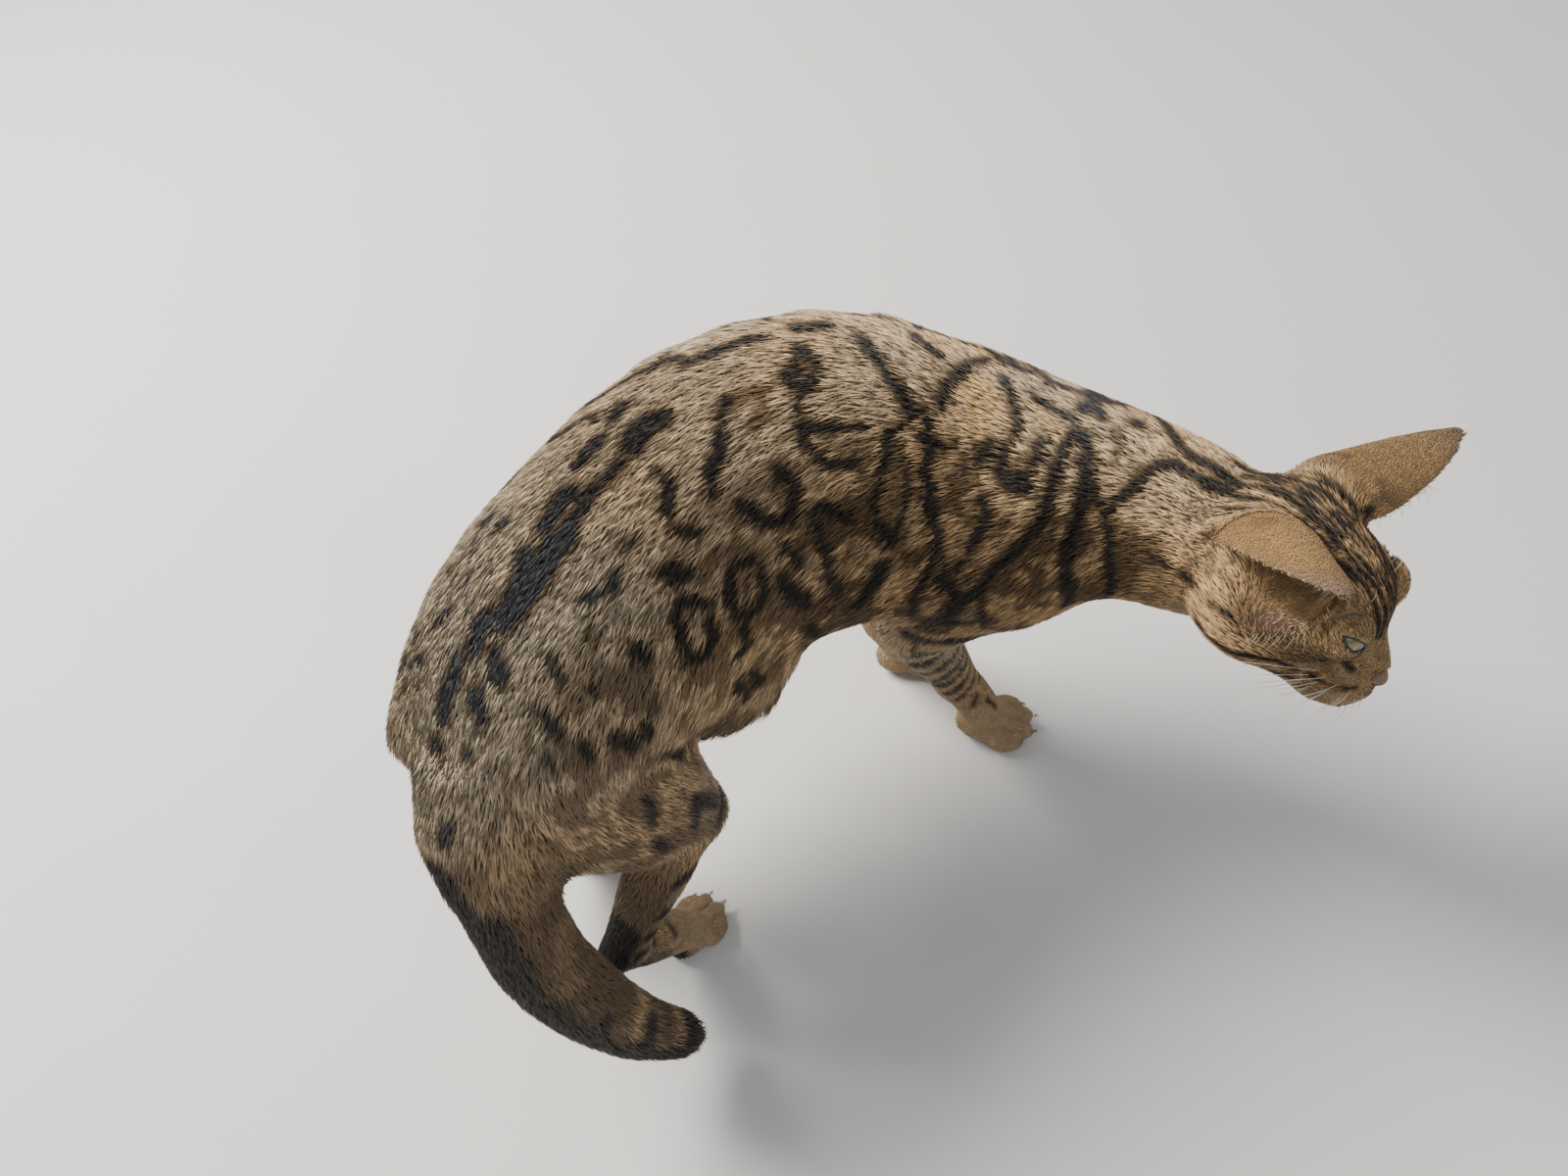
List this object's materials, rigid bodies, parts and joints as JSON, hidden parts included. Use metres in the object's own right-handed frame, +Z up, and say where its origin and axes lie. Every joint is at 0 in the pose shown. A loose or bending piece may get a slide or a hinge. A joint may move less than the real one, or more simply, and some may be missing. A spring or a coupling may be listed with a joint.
{
  "type": "spotted short-haired cat model",
  "caption": "Life-size still model of a spotted, rosetted short-haired cat standing with an arched back, head turned low to its right and tail hanging.",
  "frame": {"origin": "on the floor, under the middle of the cat's box", "axes": "+X towards the head end, +Y to the cat's left side, +Z up"},
  "size_m": [0.486, 0.2736, 0.2958],
  "materials": {
    "coat": "short glossy ticked fur with dark open rosettes, spots and bars",
    "pale_coat": "short pale fur on chin and feet",
    "dark_coat": "short dark ringed fur of the tail",
    "ear": "very short tan fur, bare pinkish skin inside",
    "nose": "moist brick-brown nose leather",
    "eye": "wet yellow-green iris with a dark slit pupil",
    "claw": "smooth horn"
  },
  "bodies": {
    "root": {"head": "coat", "jaw": "pale_coat", "nose": "nose", "eye_left": "eye", "ear_left": "ear", "eye_right": "eye", "ear_right": "ear", "upper_arm_fore_right": "coat", "forearm_fore_right": "coat", "metacarpus_fore_right": "coat", "paw_fore_right": "pale_coat", "claw_fore_right_1": "claw", "claw_fore_right_2": "claw", "claw_fore_right_3": "claw", "claw_fore_right_4": "claw", "upper_arm_fore_left": "coat", "forearm_fore_left": "coat", "metacarpus_fore_left": "coat", "paw_fore_left": "pale_coat", "claw_fore_left_1": "claw", "claw_fore_left_2": "claw", "claw_fore_left_3": "claw", "claw_fore_left_4": "claw", "thigh_hind_right": "coat", "shank_hind_right": "coat", "metatarsus_hind_right": "coat", "paw_hind_right": "pale_coat", "claw_hind_right_1": "claw", "claw_hind_right_2": "claw", "claw_hind_right_3": "claw", "claw_hind_right_4": "claw", "thigh_hind_left": "coat", "shank_hind_left": "coat", "metatarsus_hind_left": "coat", "paw_hind_left": "pale_coat", "claw_hind_left_1": "claw", "claw_hind_left_2": "claw", "claw_hind_left_3": "claw", "claw_hind_left_4": "claw", "tail_base": "dark_coat", "tail_middle": "dark_coat", "tail_tip": "dark_coat", "rump": "coat", "loin": "coat", "chest": "coat", "neck": "coat"}
  },
  "joints": []
}
